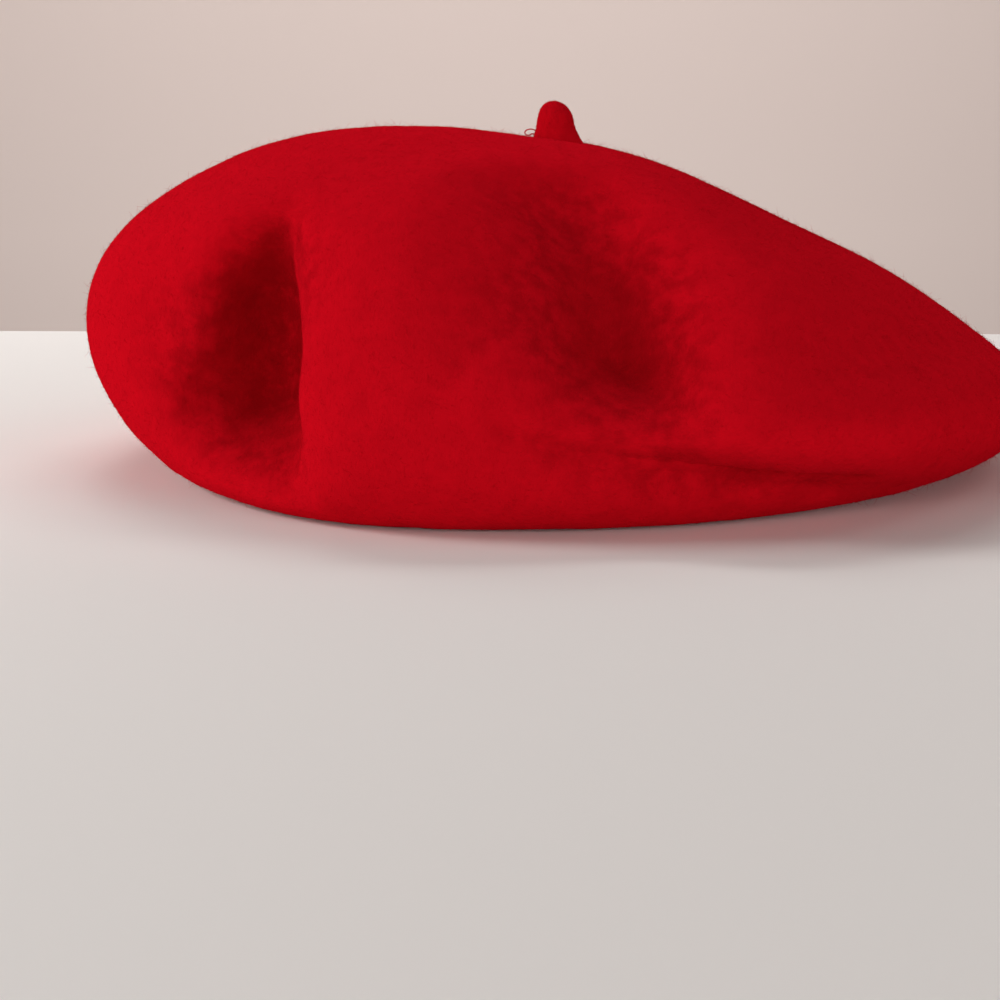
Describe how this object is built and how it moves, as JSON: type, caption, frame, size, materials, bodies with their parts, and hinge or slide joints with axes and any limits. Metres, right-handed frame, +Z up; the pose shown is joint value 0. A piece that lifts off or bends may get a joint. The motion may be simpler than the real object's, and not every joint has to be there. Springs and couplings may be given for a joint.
{
  "type": "wool beret",
  "caption": "Soft round felted wool beret with a short stem, lying on its open side with a deep hollow and folds pressed into its front.",
  "frame": {"origin": "under the middle of the beret, on the surface that it lies on", "axes": "+X along its longest side, towards the low tip at the viewer's right; +Z up, out of the crown; -Y towards the viewer"},
  "size_m": [0.244, 0.2264, 0.0919],
  "materials": {
    "crown_felt": "brushed wool felt",
    "stem_felt": "brushed wool felt"
  },
  "bodies": {
    "root": {"crown": "crown_felt", "stem": "stem_felt"}
  },
  "joints": []
}
